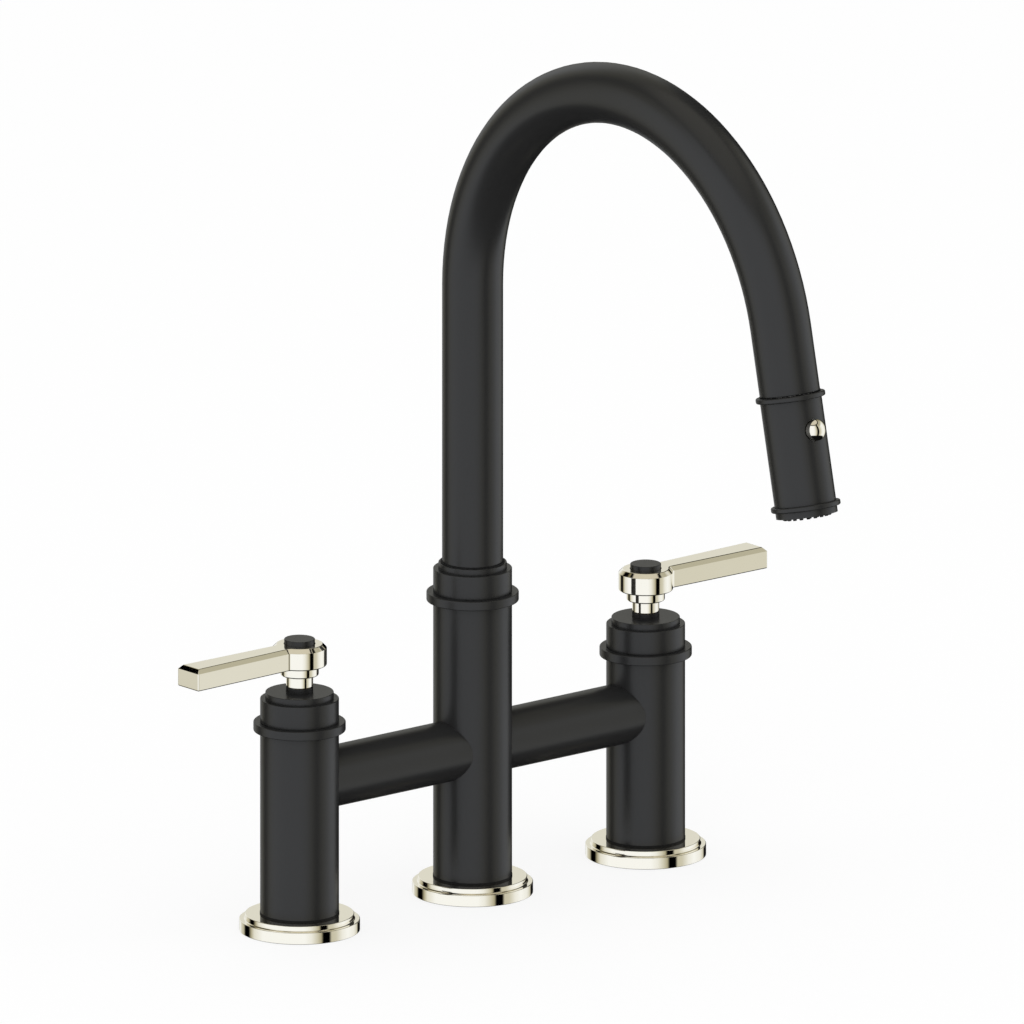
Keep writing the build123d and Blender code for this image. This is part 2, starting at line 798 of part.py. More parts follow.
with BuildPart() as hose_conduit:
    turned(
        centre_section,
        (conduit_bore_radius, socket_depth + face_gap),
        (conduit_radius, socket_depth + face_gap),
        (conduit_radius, conduit_seat_level),
        (conduit_seat_radius - seat_gap, conduit_seat_level),
        (conduit_seat_radius - seat_gap, conduit_seat_level + conduit_head_height),
        (conduit_bore_radius, conduit_seat_level + conduit_head_height),
    )
hose_conduit.part.label = "hose_conduit"
export_step(hose_conduit.part, "parts/hose_conduit.step")

with BuildPart() as thrust_washer:
    bar(
        Plane.XY,
        swivel_floor,
        spout_bottom,
        swivel_bore_radius - seat_gap,
        spout_bore_radius,
    )
thrust_washer.part.label = "thrust_washer"
export_step(thrust_washer.part, "parts/thrust_washer.step")

with BuildPart() as swivel_bushes:
    upper_bush_level = snap_ring_level + snap_ring_height + face_gap
    for level in (spout_bottom, upper_bush_level):
        bar(
            Plane.XY,
            level,
            level + bush_height,
            swivel_bore_radius - seat_gap,
            spout_radius + running_gap,
        )
swivel_bushes.part.label = "swivel_bushes"
export_step(swivel_bushes.part, "parts/swivel_bushes.step")

with BuildPart() as snap_ring:
    bar(
        Plane.XY,
        snap_ring_level,
        snap_ring_level + snap_ring_height,
        spout_radius + snap_ring_proud,
        spout_radius - snap_ring_bite + seat_gap,
    )
    with BuildSketch(Plane.XY.offset(snap_ring_level)):
        with BuildLine():
            half_opening = math.radians(snap_ring_opening / 2)
            wedge_x = 2 * spout_radius * math.sin(half_opening)
            wedge_y = 2 * spout_radius * math.cos(half_opening)
            Polyline((0, 0), (wedge_x, wedge_y), (-wedge_x, wedge_y), close=True)
        make_face()
    extrude(amount=snap_ring_height, mode=Mode.SUBTRACT)
snap_ring.part.label = "spout_snap_ring"
export_step(snap_ring.part, "parts/spout_snap_ring.step")


def gooseneck_path(bottom, tail):
    """The spout's centreline: a straight rise, one arc, and a straight tail."""
    with BuildLine(Plane.YZ) as path:
        Line((0, bottom), (0, spout_spring_level))
        arc = CenterArc((-spout_bend_radius, spout_spring_level), spout_bend_radius, 0, spout_arc)
        if tail > 0:
            Line(arc @ 1, arc @ 1 + tail * (arc % 1))
    return path.wire()


with BuildPart() as spout:
    with BuildSketch(Plane.XY.offset(spout_bottom)) as pipe_section:
        Circle(spout_radius)
        Circle(spout_bore_radius, mode=Mode.SUBTRACT)
    sweep(pipe_section.sketch, path=gooseneck_path(spout_bottom, spout_tail))
    bar(
        Plane.XY,
        snap_ring_level - seat_gap,
        snap_ring_level + snap_ring_height + seat_gap,
        spout_radius + overcut,
        spout_radius - snap_ring_bite,
        mode=Mode.SUBTRACT,
    )
spout.part.label = "spout"
export_step(spout.part, "parts/spout.step")

with BuildPart() as dock_socket:
    turned(
        head_profile,
        (conduit_bore_radius + hose_room, dock_top),
        (spout_bore_radius - seat_gap, dock_top),
        (spout_bore_radius - seat_gap, spout_tail),
        (neck_radius + running_gap, spout_tail),
        (neck_radius + running_gap, dock_top + dock_web),
        (conduit_bore_radius + hose_room, dock_top + dock_web),
    )
dock_socket.part.label = "dock_socket"
export_step(dock_socket.part, "parts/dock_socket.step")

# The hose's stretch inside the faucet, held by the conduit and the pipe all the way.
with BuildPart() as spray_hose:
    hose_bottom = socket_depth + face_gap
    with BuildSketch(Plane.XY.offset(hose_bottom)) as hose_section:
        Circle(hose_radius)
        Circle(water_bore_radius, mode=Mode.SUBTRACT)
    sweep(hose_section.sketch, path=gooseneck_path(hose_bottom, 0))
spray_hose.part.label = "spray_hose"
export_step(spray_hose.part, "parts/spray_hose.step")

# ================================================================== hose end and union
with BuildPart() as hose_ferrule:
    bar(head_plane, face_gap, ferrule_bottom, ferrule_radius, water_bore_radius)
hose_ferrule.part.label = "hose_ferrule"
export_step(hose_ferrule.part, "parts/hose_ferrule.step")

with BuildPart() as hose_connector:
    turned(
        head_profile,
        (water_bore_radius, ferrule_bottom),
        (ferrule_radius, ferrule_bottom),
        (ferrule_radius, connector_top),
        (union_stem_radius, connector_top),
        (union_stem_radius, union_flange_top),
        (union_flange_radius, union_flange_top),
        (union_flange_radius, union_flange_bottom),
        (union_stub_radius, union_flange_bottom),
        (union_stub_radius, union_stub_bottom),
        (water_bore_radius, union_stub_bottom),
    )
hose_connector.part.label = "hose_connector"
export_step(hose_connector.part, "parts/hose_connector.step")

with BuildPart() as union_nut:
    bar(
        head_plane,
        neck_top,
        union_nut_bottom,
        union_nut_radius,
        union_stem_radius + running_gap,
    )
union_nut.part.label = "union_nut"
export_step(union_nut.part, "parts/union_nut.step")

# ================================================================== spray head
with BuildPart() as waterway_body:
    turned(
        head_profile,
        (union_nut_radius + seat_gap, neck_top),
        (neck_radius - neck_lead, neck_top),
        (neck_radius, neck_top + neck_lead),
        (neck_radius, upper_ring_top),
        (body_radius, upper_ring_top),
        (body_radius, body_bottom),
        (stream_radius + stream_wall, body_bottom),
        (stream_radius + stream_wall, stream_tube_bottom),
        (stream_radius, stream_tube_bottom),
        (stream_radius, stream_bore_top),
        (0, stream_bore_top),
        (0, inlet_end),
        (union_stub_radius + running_gap, inlet_end),
        (union_stub_radius + running_gap, union_ledge),
        (union_nut_radius + seat_gap, union_ledge),
    )
    # The inlet runs down to the cross bore in which the spool slides.
    with BuildSketch(head_plane.offset(inlet_end)) as inlet_port:
        Rectangle(spool_port_width, spool_port_height)
    extrude(inlet_port.sketch, amount=button_station - inlet_end, mode=Mode.SUBTRACT)
    bar(
        button_plane,
        -spool_tail - button_travel - face_gap,
        spring_seat + overcut,
        spool_radius + running_gap,
        mode=Mode.SUBTRACT,
    )
    bar(
        button_plane,
        spring_seat,
        button_floor,
        spring_radius + spring_wire + face_gap,
        mode=Mode.SUBTRACT,
    )
    bar(button_plane, button_floor, head_radius, button_radius + running_gap, mode=Mode.SUBTRACT)
    # One port feeds the stream's bore, the other the ring of spray nozzles.
    with BuildSketch(head_plane.offset(button_station)) as stream_port:
        with Locations((0, spool_pitch)):
            Rectangle(spool_port_width, spool_port_height)
    extrude(stream_port.sketch, amount=stream_bore_top - button_station, mode=Mode.SUBTRACT)
    with BuildSketch(head_plane.offset(button_station)) as spray_port:
        with Locations((0, -spool_pitch)):
            Rectangle(spool_port_width, spool_port_height)
    extrude(
        spray_port.sketch,
        amount=spray_channel_station - button_station + spray_channel_radius,
        mode=Mode.SUBTRACT,
    )
    cross_plane = Plane(
        origin=head_plane.from_local_coords(Vector(0, 0, spray_channel_station)),
        x_dir=head_plane.x_dir,
        z_dir=-head_plane.y_dir,
    )
    bar(cross_plane, spool_pitch, spray_channel_offset, spray_channel_radius, mode=Mode.SUBTRACT)
    with BuildSketch(head_plane.offset(spray_channel_station)) as spray_channel:
        with Locations((0, -spray_channel_offset)):
            Circle(spray_channel_radius)
    extrude(
        spray_channel.sketch,
        amount=body_bottom - spray_channel_station,
        mode=Mode.SUBTRACT,
    )
waterway_body.part.label = "waterway_body"
export_step(waterway_body.part, "parts/waterway_body.step")

with BuildPart() as check_valve:
    bar(
        head_plane,
        valve_station,
        inlet_end,
        union_stub_radius,
        water_bore_radius,
    )
    bar(head_plane, valve_station, valve_station + check_valve_guide, poppet_radius)
    with BuildSketch(head_plane.offset(valve_station)) as spokes:
        with PolarLocations(0, check_valve_spokes):
            Rectangle(
                union_stub_radius - running_gap,
                check_valve_spoke,
                align=(Align.MIN, Align.CENTER),
            )
    extrude(spokes.sketch, amount=check_valve_guide)
check_valve.part.label = "check_valve"
export_step(check_valve.part, "parts/check_valve.step")

with BuildPart() as spray_shell:
    bar(head_plane, shell_top, shell_bottom, head_radius, head_bore_radius)
    bar(button_plane, 0, head_radius + overcut, button_radius + face_gap, mode=Mode.SUBTRACT)
spray_shell.part.label = "spray_shell"
export_step(spray_shell.part, "parts/spray_shell.step")

for name, station in (("upper", upper_ring_top), ("lower", shell_bottom)):
    with BuildPart() as head_ring:
        bar(
            head_plane,
            station,
            station + head_ring_height,
            head_ring_radius,
            head_bore_radius,
        )
        fillet(
            [outer_rim(head_ring, head_axis, 0), outer_rim(head_ring, head_axis, -1)],
            head_ring_rounding,
        )
    head_ring.part.label = f"{name}_head_ring"
    export_step(head_ring.part, f"parts/{name}_head_ring.step")

with BuildPart() as nozzle_skirt:
    turned(
        head_profile,
        (body_radius - skirt_wall, skirt_top - skirt_thread_length),
        (body_radius, skirt_top - skirt_thread_length),
        (body_radius, skirt_top),
        (head_radius, skirt_top),
        (head_radius, skirt_bottom),
        (head_radius - face_inset, skirt_bottom),
        (head_radius - face_inset, face_top),
        (body_radius - skirt_wall, face_top),
    )
nozzle_skirt.part.label = "nozzle_skirt"
export_step(nozzle_skirt.part, "parts/nozzle_skirt.step")

with BuildPart() as spray_face:
    bar(
        head_plane,
        face_top,
        skirt_bottom,
        head_radius - face_inset - seat_gap,
        stream_radius + running_gap,
    )
    for pitch_radius, count in nozzle_rings:
        with BuildSketch(head_plane.offset(skirt_bottom)) as nozzle_bases:
            with PolarLocations(pitch_radius, count):
                Circle(nozzle_base_radius)
        draft = math.degrees(math.atan((nozzle_base_radius - nozzle_tip_radius) / nozzle_height))
        extrude(nozzle_bases.sketch, amount=nozzle_height, taper=draft)
        with BuildSketch(head_plane.offset(face_top)) as nozzle_bores:
            with PolarLocations(pitch_radius, count):
                Circle(nozzle_bore_radius)
        extrude(
            nozzle_bores.sketch,
            amount=face_thickness + nozzle_height,
            mode=Mode.SUBTRACT,
        )
spray_face.part.label = "spray_face"
export_step(spray_face.part, "parts/spray_face.step")

with BuildPart() as stream_former:
    bar(head_plane, stream_tube_bottom, face_top, stream_radius + stream_wall)
    bar(head_plane, face_top, skirt_bottom + stream_proud, stream_radius)
    with BuildSketch(head_plane.offset(stream_tube_bottom)) as stream_holes:
        with HexLocations(stream_hole_pitch / 2, stream_hole_rows, stream_hole_rows):
            Circle(stream_hole_radius)
    extrude(
        stream_holes.sketch,
        amount=skirt_bottom + stream_proud - stream_tube_bottom,
        mode=Mode.SUBTRACT,
    )
stream_former.part.label = "stream_former"
export_step(stream_former.part, "parts/stream_former.step")

# ================================================================== spray button
with BuildPart() as spray_button:
    rim_level = head_radius + button_proud
    with BuildSketch(button_profile) as button_outline:
        with BuildLine():
            Polyline(
                (0, rim_level + button_dome),
                (0, button_back),
                (button_radius, button_back),
                (button_radius, rim_level),
            )
            dome_radius = (button_radius**2 + button_dome**2) / (2 * button_dome)
            RadiusArc(
                (button_radius, rim_level), (0, rim_level + button_dome), -dome_radius
            )
        make_face()
    revolve(button_outline.sketch, axis=Axis(button_plane.origin, button_plane.z_dir))
    bar(
        button_plane,
        button_back,
        button_back + spool_grip,
        spool_radius + seat_gap,
        mode=Mode.SUBTRACT,
    )
spray_button.part.label = "spray_button"
export_step(spray_button.part, "parts/spray_button.step")

with BuildPart() as diverter_spool:
    waist_low = -spool_port_height / 2 - spool_land_overlap
    waist_high = spool_pitch + spool_port_height / 2
    turned(
        button_profile,
        (0, -spool_tail),
        (spool_radius, -spool_tail),
        (spool_radius, waist_low),
        (spool_waist_radius, waist_low),
        (spool_waist_radius, waist_high),
        (spool_radius, waist_high),
        (spool_radius, button_back + spool_grip),
        (0, button_back + spool_grip),
    )
diverter_spool.part.label = "diverter_spool"
export_step(diverter_spool.part, "parts/diverter_spool.step")

with BuildPart() as button_spring:
    coil_length = spring_length - 2 * spring_wire
    coil_start = button_plane.from_local_coords(Vector(0, 0, spring_seat + spring_wire))
    with BuildLine() as coil:
        Helix(
            pitch=coil_length / spring_turns,
            height=coil_length,
            radius=spring_radius,
            center=coil_start,
            direction=button_plane.z_dir,
        )
    with BuildSketch(Plane(origin=coil.line @ 0, z_dir=coil.line % 0)) as wire_section:
        RegularPolygon(radius=spring_wire, side_count=spring_wire_sides)
    sweep(wire_section.sketch, path=coil.wire(), is_frenet=True)
button_spring.part.label = "button_spring"
export_step(button_spring.part, "parts/button_spring.step")
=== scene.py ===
import math

import bpy
from mathutils import Matrix, Vector
from mathutils.geometry import tessellate_polygon


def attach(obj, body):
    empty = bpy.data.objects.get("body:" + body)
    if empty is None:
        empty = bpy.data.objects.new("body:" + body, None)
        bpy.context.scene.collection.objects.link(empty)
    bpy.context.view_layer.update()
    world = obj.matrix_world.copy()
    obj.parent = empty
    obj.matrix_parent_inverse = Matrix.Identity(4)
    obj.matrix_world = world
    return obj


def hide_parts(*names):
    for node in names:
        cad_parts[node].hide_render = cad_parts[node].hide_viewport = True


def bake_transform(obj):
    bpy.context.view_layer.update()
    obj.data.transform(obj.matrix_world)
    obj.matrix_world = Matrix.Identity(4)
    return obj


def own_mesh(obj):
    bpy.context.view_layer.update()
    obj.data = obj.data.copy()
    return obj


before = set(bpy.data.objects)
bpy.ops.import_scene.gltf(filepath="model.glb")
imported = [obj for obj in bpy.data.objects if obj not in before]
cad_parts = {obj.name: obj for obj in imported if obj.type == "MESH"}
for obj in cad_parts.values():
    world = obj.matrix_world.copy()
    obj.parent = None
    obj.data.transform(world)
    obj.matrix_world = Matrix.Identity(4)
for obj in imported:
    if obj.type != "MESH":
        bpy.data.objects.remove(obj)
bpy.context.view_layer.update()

scene = bpy.context.scene


class Wire:  # one socket of a node tree; sums written with it add Math nodes
    def __init__(self, tree, socket=None):
        self.tree = tree
        self.socket = socket

    def node(self, kind, settings=None, sockets=None, out=0):
        made = self.tree.nodes.new(kind)
        for name, value in (settings or {}).items():
            if name == "stops":
                setStops(made.color_ramp, value)
            else:
                setattr(made, name, value)
        for name, value in (sockets or {}).items():
            if isinstance(value, Wire):
                self.tree.links.new(value.socket, made.inputs[name])
            else:
                made.inputs[name].default_value = value
        return Wire(self.tree, made.outputs[out] if len(made.outputs) else None)

    def maths(self, operation, *values):
        return self.node("ShaderNodeMath", {"operation": operation}, dict(enumerate(values)))

    def dot(self, direction):
        sockets = {0: self, 1: direction}
        return self.node("ShaderNodeVectorMath", {"operation": "DOT_PRODUCT"}, sockets, "Value")

    def scaled(self, amounts):
        return self.node("ShaderNodeVectorMath", {"operation": "MULTIPLY"}, {0: self, 1: amounts})

    def tint(self, low, high):  # this wire picks between two colours
        return self.node("ShaderNodeMix", {"data_type": "RGBA"}, {0: self, 6: low, 7: high}, 2)

    def held(self, low, high):
        return self.maths("MINIMUM", self.maths("MAXIMUM", self, low), high)

    def __add__(self, other):
        return self.maths("ADD", self, other)

    def __radd__(self, other):
        return self.maths("ADD", other, self)

    def __sub__(self, other):
        return self.maths("SUBTRACT", self, other)

    def __rsub__(self, other):
        return self.maths("SUBTRACT", other, self)

    def __mul__(self, other):
        return self.maths("MULTIPLY", self, other)

    def __rmul__(self, other):
        return self.maths("MULTIPLY", other, self)

    def __truediv__(self, other):
        return self.maths("DIVIDE", self, other)

    def __rtruediv__(self, other):
        return self.maths("DIVIDE", other, self)


def setStops(ramp, stops):  # stops are (place, colour), from left to right
    while len(ramp.elements) > 1:
        ramp.elements.remove(ramp.elements[-1])
    for i, (place, colour) in enumerate(stops):
        element = ramp.elements[0] if i == 0 else ramp.elements.new(place)
        element.position = place
        element.color = (*colour, 1)


# studio
studio = {
    "toCamera": (-0.6428, -0.7660, 0),  # on the floor, towards the camera
    "toRight": (0.7660, -0.6428, 0),
    "plainLight": 1.0,
    # panels round the object, as brightness by the angle from the camera's side, positive to
    # the picture's right: one behind, a wide one in front and to the left, one to the right
    "panels": (
        (-180, 0.75), (-157, 0.95), (-144, 0.65), (-134, 0.5), (-128, 0),
        (-113, 0), (-106, 0.45), (-97, 0.8), (-75, 1), (10, 1), (23, 0.9), (35, 0.65),
        (42, 0.45), (46, 0),
        (60, 0), (64, 0.6), (75, 0.65), (90, 0.9), (106, 1), (128, 0.9), (144, 0.6),
        (150, 0),
        (170, 0), (174, 0.75),
    ),
    "panelWhite": (1.01, 1.04, 1.09),
    # dim light is warmer: the power that a brightness is raised to, in each colour
    "panelFade": (1, 1.12, 1.6),
    # the same walls by height, as the sine of the angle above the horizon: what part of them shows
    "walls": ((-0.57, 0), (-0.51, 1), (0.76, 1), (0.79, 0)),
    "ceiling": (
        (0.83, (0.004, 0.004, 0.004)),
        (0.86, (0.64, 0.60, 0.50)),
        (1.0, (0.68, 0.65, 0.55)),
    ),
    # the walls' tint high up at the sides: how high it starts, as a sine, how far round, in
    # radians, and how fast it comes in with both
    "cornice": {"tint": (0.50, 0.47, 0.36), "height": 0.45, "steep": 6, "aside": 1.1, "soft": 3},
    # a low black flag behind the object: its middle, how far round it goes as a cosine, and its top
    "flag": {"angle": 166, "reach": 0.89, "below": 0.06, "edge": 25, "black": 0.004},
    "floorSize": 6.0,
    "floorGap": 0.0002,  # keeps the floor clear of the flanges' undersides
    "floorColour": (0.93, 0.93, 0.93, 1),
    "floorGlow": 0.8,
    "lampAim": (0, 0, 0.15),
}

world = bpy.data.worlds.new("studioWorld")
world.use_nodes = True
world.node_tree.nodes.clear()
scene.world = world
sky = Wire(world.node_tree)
heading = sky.node("ShaderNodeTexCoord", out="Generated")
turn = sky.maths("ARCTAN2", heading.dot(studio["toRight"]), heading.dot(studio["toCamera"]))
stops = []
for angle, bright in studio["panels"]:
    fades = zip(studio["panelWhite"], studio["panelFade"])
    colour = [white * bright**power for white, power in fades]
    stops.append(((angle + 180) / 360, colour))
wall = sky.node("ShaderNodeValToRGB", {"stops": stops}, {0: turn / (2 * math.pi) + 0.5})
height = heading.dot((0, 0, 1))
upper = height / 2 + 0.5
aside = sky.maths("ABSOLUTE", turn)
cornice = studio["cornice"]
high = ((height - cornice["height"]) * cornice["steep"]).held(0, 1)
sideways = ((aside - cornice["aside"]) * cornice["soft"]).held(0, 1)
wall = (high * sideways).tint(wall, wall.scaled(cornice["tint"]))
flag = studio["flag"]
flagTurn = math.radians(flag["angle"])
flagMiddle = [
    ahead * math.cos(flagTurn) + across * math.sin(flagTurn)
    for ahead, across in zip(studio["toCamera"], studio["toRight"])
]
behind = ((heading.dot(flagMiddle) - flag["reach"]) * flag["edge"]).held(0, 1)
low = ((height * -1 - flag["below"]) * flag["edge"]).held(0, 1)
wall = (behind * low).tint(wall, (flag["black"],) * 3 + (1,))
stops = [((sine + 1) / 2, (share,) * 3) for sine, share in studio["walls"]]
wallShows = sky.node("ShaderNodeValToRGB", {"stops": stops}, {0: upper})
stops = [((sine + 1) / 2, colour) for sine, colour in studio["ceiling"]]
ceiling = sky.node("ShaderNodeValToRGB", {"stops": stops}, {0: upper})
panels = wallShows.tint(ceiling, wall)
ray = sky.node("ShaderNodeLightPath", out="Is Camera Ray")
mirrored = Wire(ray.tree, ray.socket.node.outputs["Is Glossy Ray"])
through = Wire(ray.tree, ray.socket.node.outputs["Is Transmission Ray"])
plain = (studio["plainLight"],) * 3 + (1,)
reflected = sky.maths("MAXIMUM", mirrored, through).tint(plain, panels)
seen = ray.tint(reflected, (1, 1, 1, 1))
background = sky.node("ShaderNodeBackground", {}, {"Color": seen})
sky.node("ShaderNodeOutputWorld", {}, {"Surface": background})

half = studio["floorSize"] / 2
floorMesh = bpy.data.meshes.new("floor")
floorMesh.from_pydata(
    [(-half, -half, 0), (half, -half, 0), (half, half, 0), (-half, half, 0)], [], [(0, 1, 2, 3)]
)
floor = bpy.data.objects.new("floor", floorMesh)
scene.collection.objects.link(floor)
floor.location.z = -studio["floorGap"]
floor.visible_glossy = False  # the polished metal mirrors the panels down to the deck

paleFloor = bpy.data.materials.new("paleFloor")
paleFloor.use_nodes = True
paleFloor.node_tree.nodes.clear()
ground = Wire(paleFloor.node_tree)
shadowed = ground.node("ShaderNodeBsdfDiffuse", {}, {"Color": studio["floorColour"]})
glow = ground.node("ShaderNodeEmission", {}, {"Color": (1, 1, 1, 1)})
straight = ground.node("ShaderNodeLightPath", out="Is Camera Ray")
share = straight * studio["floorGlow"]
mixed = ground.node("ShaderNodeMixShader", {}, {0: share, 1: shadowed, 2: glow})
ground.node("ShaderNodeOutputMaterial", {}, {"Surface": mixed})
floorMesh.materials.append(paleFloor)

lamps = {
    "keyLamp": {"at": (-1.6, -1.5, 1.9), "size": 1.6, "watts": 7.5},
    "fillLamp": {"at": (1.7, -1.2, 1.4), "size": 1.8, "watts": 1.5},
}
for name, lamp in lamps.items():
    light = bpy.data.lights.new(name, "AREA")
    light.shape = "DISK"
    light.size = lamp["size"]
    light.energy = lamp["watts"]
    holder = bpy.data.objects.new(name, light)
    scene.collection.objects.link(holder)
    holder.location = lamp["at"]
    aim = Vector(studio["lampAim"]) - holder.location
    holder.rotation_euler = aim.to_track_quat("-Z", "Y").to_euler()
    holder.visible_glossy = False  # the panels alone give the sheen
print("studio in: panels, floor and", len(lamps), "lamps")

# camera, as in the photo: 15 degrees down, from 40 degrees to the left, with no perspective
shot = {
    "lookAt": (0.02313, 0, 0.17277),
    "fromLeft": 40.0,
    "down": 15.0,
    "away": 2.0,
    "wide": 0.46055,
}
camera = bpy.data.objects.new("camera", bpy.data.cameras.new("camera"))
scene.collection.objects.link(camera)
camera.data.type = "ORTHO"
camera.data.ortho_scale = shot["wide"]
camera.rotation_euler = (math.radians(90 - shot["down"]), 0, -math.radians(shot["fromLeft"]))
back = camera.rotation_euler.to_matrix() @ Vector((0, 0, 1))
camera.location = Vector(shot["lookAt"]) + shot["away"] * back
scene.camera = camera
scene.view_settings.view_transform = "Standard"
print("camera in")

# finishes, by the record's slot names; in each, "rough" is the roughness, a value such as
# "grainRough" is how far that noise moves it, and "drawn" stretches a noise along the axes
finishes = {}


# varied gives the sockets that change over the surface, shine those that don't
def finish(slotName, name, varied, dulled=None, **shine):
    material = bpy.data.materials.new(name)
    material.use_nodes = True
    material.node_tree.nodes.clear()
    draw = Wire(material.node_tree)
    sockets = varied(draw)
    surface = draw.node("ShaderNodeBsdfPrincipled", {}, {**shine, **sockets})
    if dulled:  # fine grain hides part of the sheen where the surface is seen at a slant
        facing = draw.node("ShaderNodeLayerWeight", {}, {"Blend": 0.5}, "Facing")
        share = ((facing - dulled["from"]) * dulled["rise"]).held(0, dulled["most"])
        matt = draw.node("ShaderNodeBsdfDiffuse", {}, {"Color": sockets["Base Color"]})
        surface = draw.node("ShaderNodeMixShader", {}, {0: share, 1: surface, 2: matt})
    draw.node("ShaderNodeOutputMaterial", {}, {"Surface": surface})
    finishes[slotName] = material


def noise(draw, scale, detail=3.0, stretch=(1, 1, 1)):  # grain fixed to the part, in metres
    place = draw.node("ShaderNodeTexCoord", out="Object").scaled(stretch)
    return draw.node("ShaderNodeTexNoise", {}, {"Vector": place, "Scale": scale, "Detail": detail})


def bump(draw, height, look):
    sockets = {"Height": height, "Strength": look["bump"], "Distance": look["deep"]}
    return draw.node("ShaderNodeBump", {}, sockets)


slanted = {"from": 0.40, "rise": 1.25, "most": 0.80}
satinBlack = {
    "thin": (0.0184, 0.0185, 0.0186, 1),
    "thick": (0.0160, 0.0161, 0.0162, 1),
    "grain": 2600,
    "cloud": 30,
    "rough": 0.30,
    "cloudRough": 0.03,
    "grainRough": 0.04,
    "bump": 0.12,
    "deep": 0.00002,
}


def satinBlackPaint(draw):
    cloud = noise(draw, satinBlack["cloud"])
    grain = noise(draw, satinBlack["grain"], 2.0)  # the paint's fine orange peel
    clouded = satinBlack["rough"] + (cloud - 0.5) * satinBlack["cloudRough"]
    return {
        "Base Color": (cloud * 0.5 + grain * 0.5).tint(satinBlack["thin"], satinBlack["thick"]),
        "Roughness": clouded + (grain - 0.5) * satinBlack["grainRough"],
        "Normal": bump(draw, grain, satinBlack),
    }


finish("satin_black", "satinBlackPaint", satinBlackPaint, slanted, IOR=1.42)

champagne = {
    "pale": (0.925, 0.888, 0.783, 1),
    "warm": (0.915, 0.873, 0.758, 1),
    "smear": 90,
    "hairline": 5200,
    "drawn": (1, 1, 0.15),
    "rough": 0.045,
    "smearRough": 0.03,
    "hairlineRough": 0.02,
    "bump": 0.05,
    "deep": 0.000004,
}


def champagneGold(draw):
    smear = noise(draw, champagne["smear"], 2.0)  # where the polishing wheel lingered
    hairline = noise(draw, champagne["hairline"], 2.0, champagne["drawn"])
    smeared = champagne["rough"] + (smear - 0.5) * champagne["smearRough"]
    return {
        "Base Color": smear.tint(champagne["pale"], champagne["warm"]),
        "Roughness": smeared + (hairline - 0.5) * champagne["hairlineRough"],
        "Normal": bump(draw, hairline, champagne),
    }


finish("champagne_gold", "champagneGoldPlate", champagneGold, Metallic=1.0)

trim = {
    "low": (0.0120, 0.0120, 0.0122, 1),
    "high": (0.0165, 0.0163, 0.0160, 1),
    "spark": 1900,
    "rough": 0.30,
    "sparkRough": 0.12,
    "bump": 0.3,
    "deep": 0.00004,
}


def blackTrim(draw):
    spark = noise(draw, trim["spark"], 2.0)  # eroded mould grain
    return {
        "Base Color": spark.tint(trim["low"], trim["high"]),
        "Roughness": trim["rough"] + (spark - 0.5) * trim["sparkRough"],
        "Normal": bump(draw, spark, trim),
    }


finish("black_trim", "blackMouldedTrim", blackTrim, slanted, IOR=1.42)

brass = {
    "bright": (0.80, 0.60, 0.30, 1),
    "dull": (0.68, 0.48, 0.22, 1),
    "stain": 70,
    "turned": 6.0,
    "drawn": (12, 12, 900),
    "rough": 0.24,
    "stainRough": 0.12,
    "turnedRough": 0.1,
    "bump": 0.3,
    "deep": 0.00002,
}


def bareBrass(draw):
    stain = noise(draw, brass["stain"])
    tooling = noise(draw, brass["turned"], 2.0, brass["drawn"])  # the lathe's feed marks
    stained = brass["rough"] + stain * brass["stainRough"]
    return {
        "Base Color": stain.tint(brass["bright"], brass["dull"]),
        "Roughness": stained + (tooling - 0.5) * brass["turnedRough"],
        "Normal": bump(draw, tooling, brass),
    }


finish("bare_brass", "turnedBrass", bareBrass, Metallic=1.0)

steel = {
    "bright": (0.66, 0.65, 0.63, 1),
    "dull": (0.50, 0.49, 0.48, 1),
    "brushed": 5.0,
    "drawn": (20, 20, 1400),
    "rough": 0.26,
    "brushedRough": 0.2,
    "bump": 0.25,
    "deep": 0.00002,
}


def brushedSteel(draw):
    brushing = noise(draw, steel["brushed"], 3.0, steel["drawn"])
    return {
        "Base Color": brushing.tint(steel["bright"], steel["dull"]),
        "Roughness": steel["rough"] + (brushing - 0.5) * steel["brushedRough"],
        "Normal": bump(draw, brushing, steel),
    }


finish("steel", "brushedSteel", brushedSteel, Metallic=1.0)

ceramic = {
    "light": (0.86, 0.85, 0.81, 1),
    "dark": (0.78, 0.77, 0.73, 1),
    "speck": 1400,
    "rough": 0.16,
    "speckRough": 0.08,
    "bump": 0.1,
    "deep": 0.00001,
}


def valveCeramic(draw):
    speck = noise(draw, ceramic["speck"], 2.0)
    return {
        "Base Color": speck.tint(ceramic["light"], ceramic["dark"]),
        "Roughness": ceramic["rough"] + (speck - 0.5) * ceramic["speckRough"],
        "Normal": bump(draw, speck, ceramic),
    }


finish("valve_ceramic", "lappedCeramic", valveCeramic, IOR=1.75)

acetal = {
    "light": (0.82, 0.82, 0.80, 1),
    "dark": (0.76, 0.755, 0.73, 1),
    "flow": 160,
    "grain": 2200,
    "rough": 0.42,
    "grainRough": 0.14,
    "bump": 0.2,
    "deep": 0.00003,
}


def whitePlastic(draw):
    flow = noise(draw, acetal["flow"])
    grain = noise(draw, acetal["grain"], 2.0)
    return {
        "Base Color": flow.tint(acetal["light"], acetal["dark"]),
        "Roughness": acetal["rough"] + (grain - 0.5) * acetal["grainRough"],
        "Normal": bump(draw, grain, acetal),
    }


finish("white_plastic", "whiteAcetal", whitePlastic, IOR=1.48)

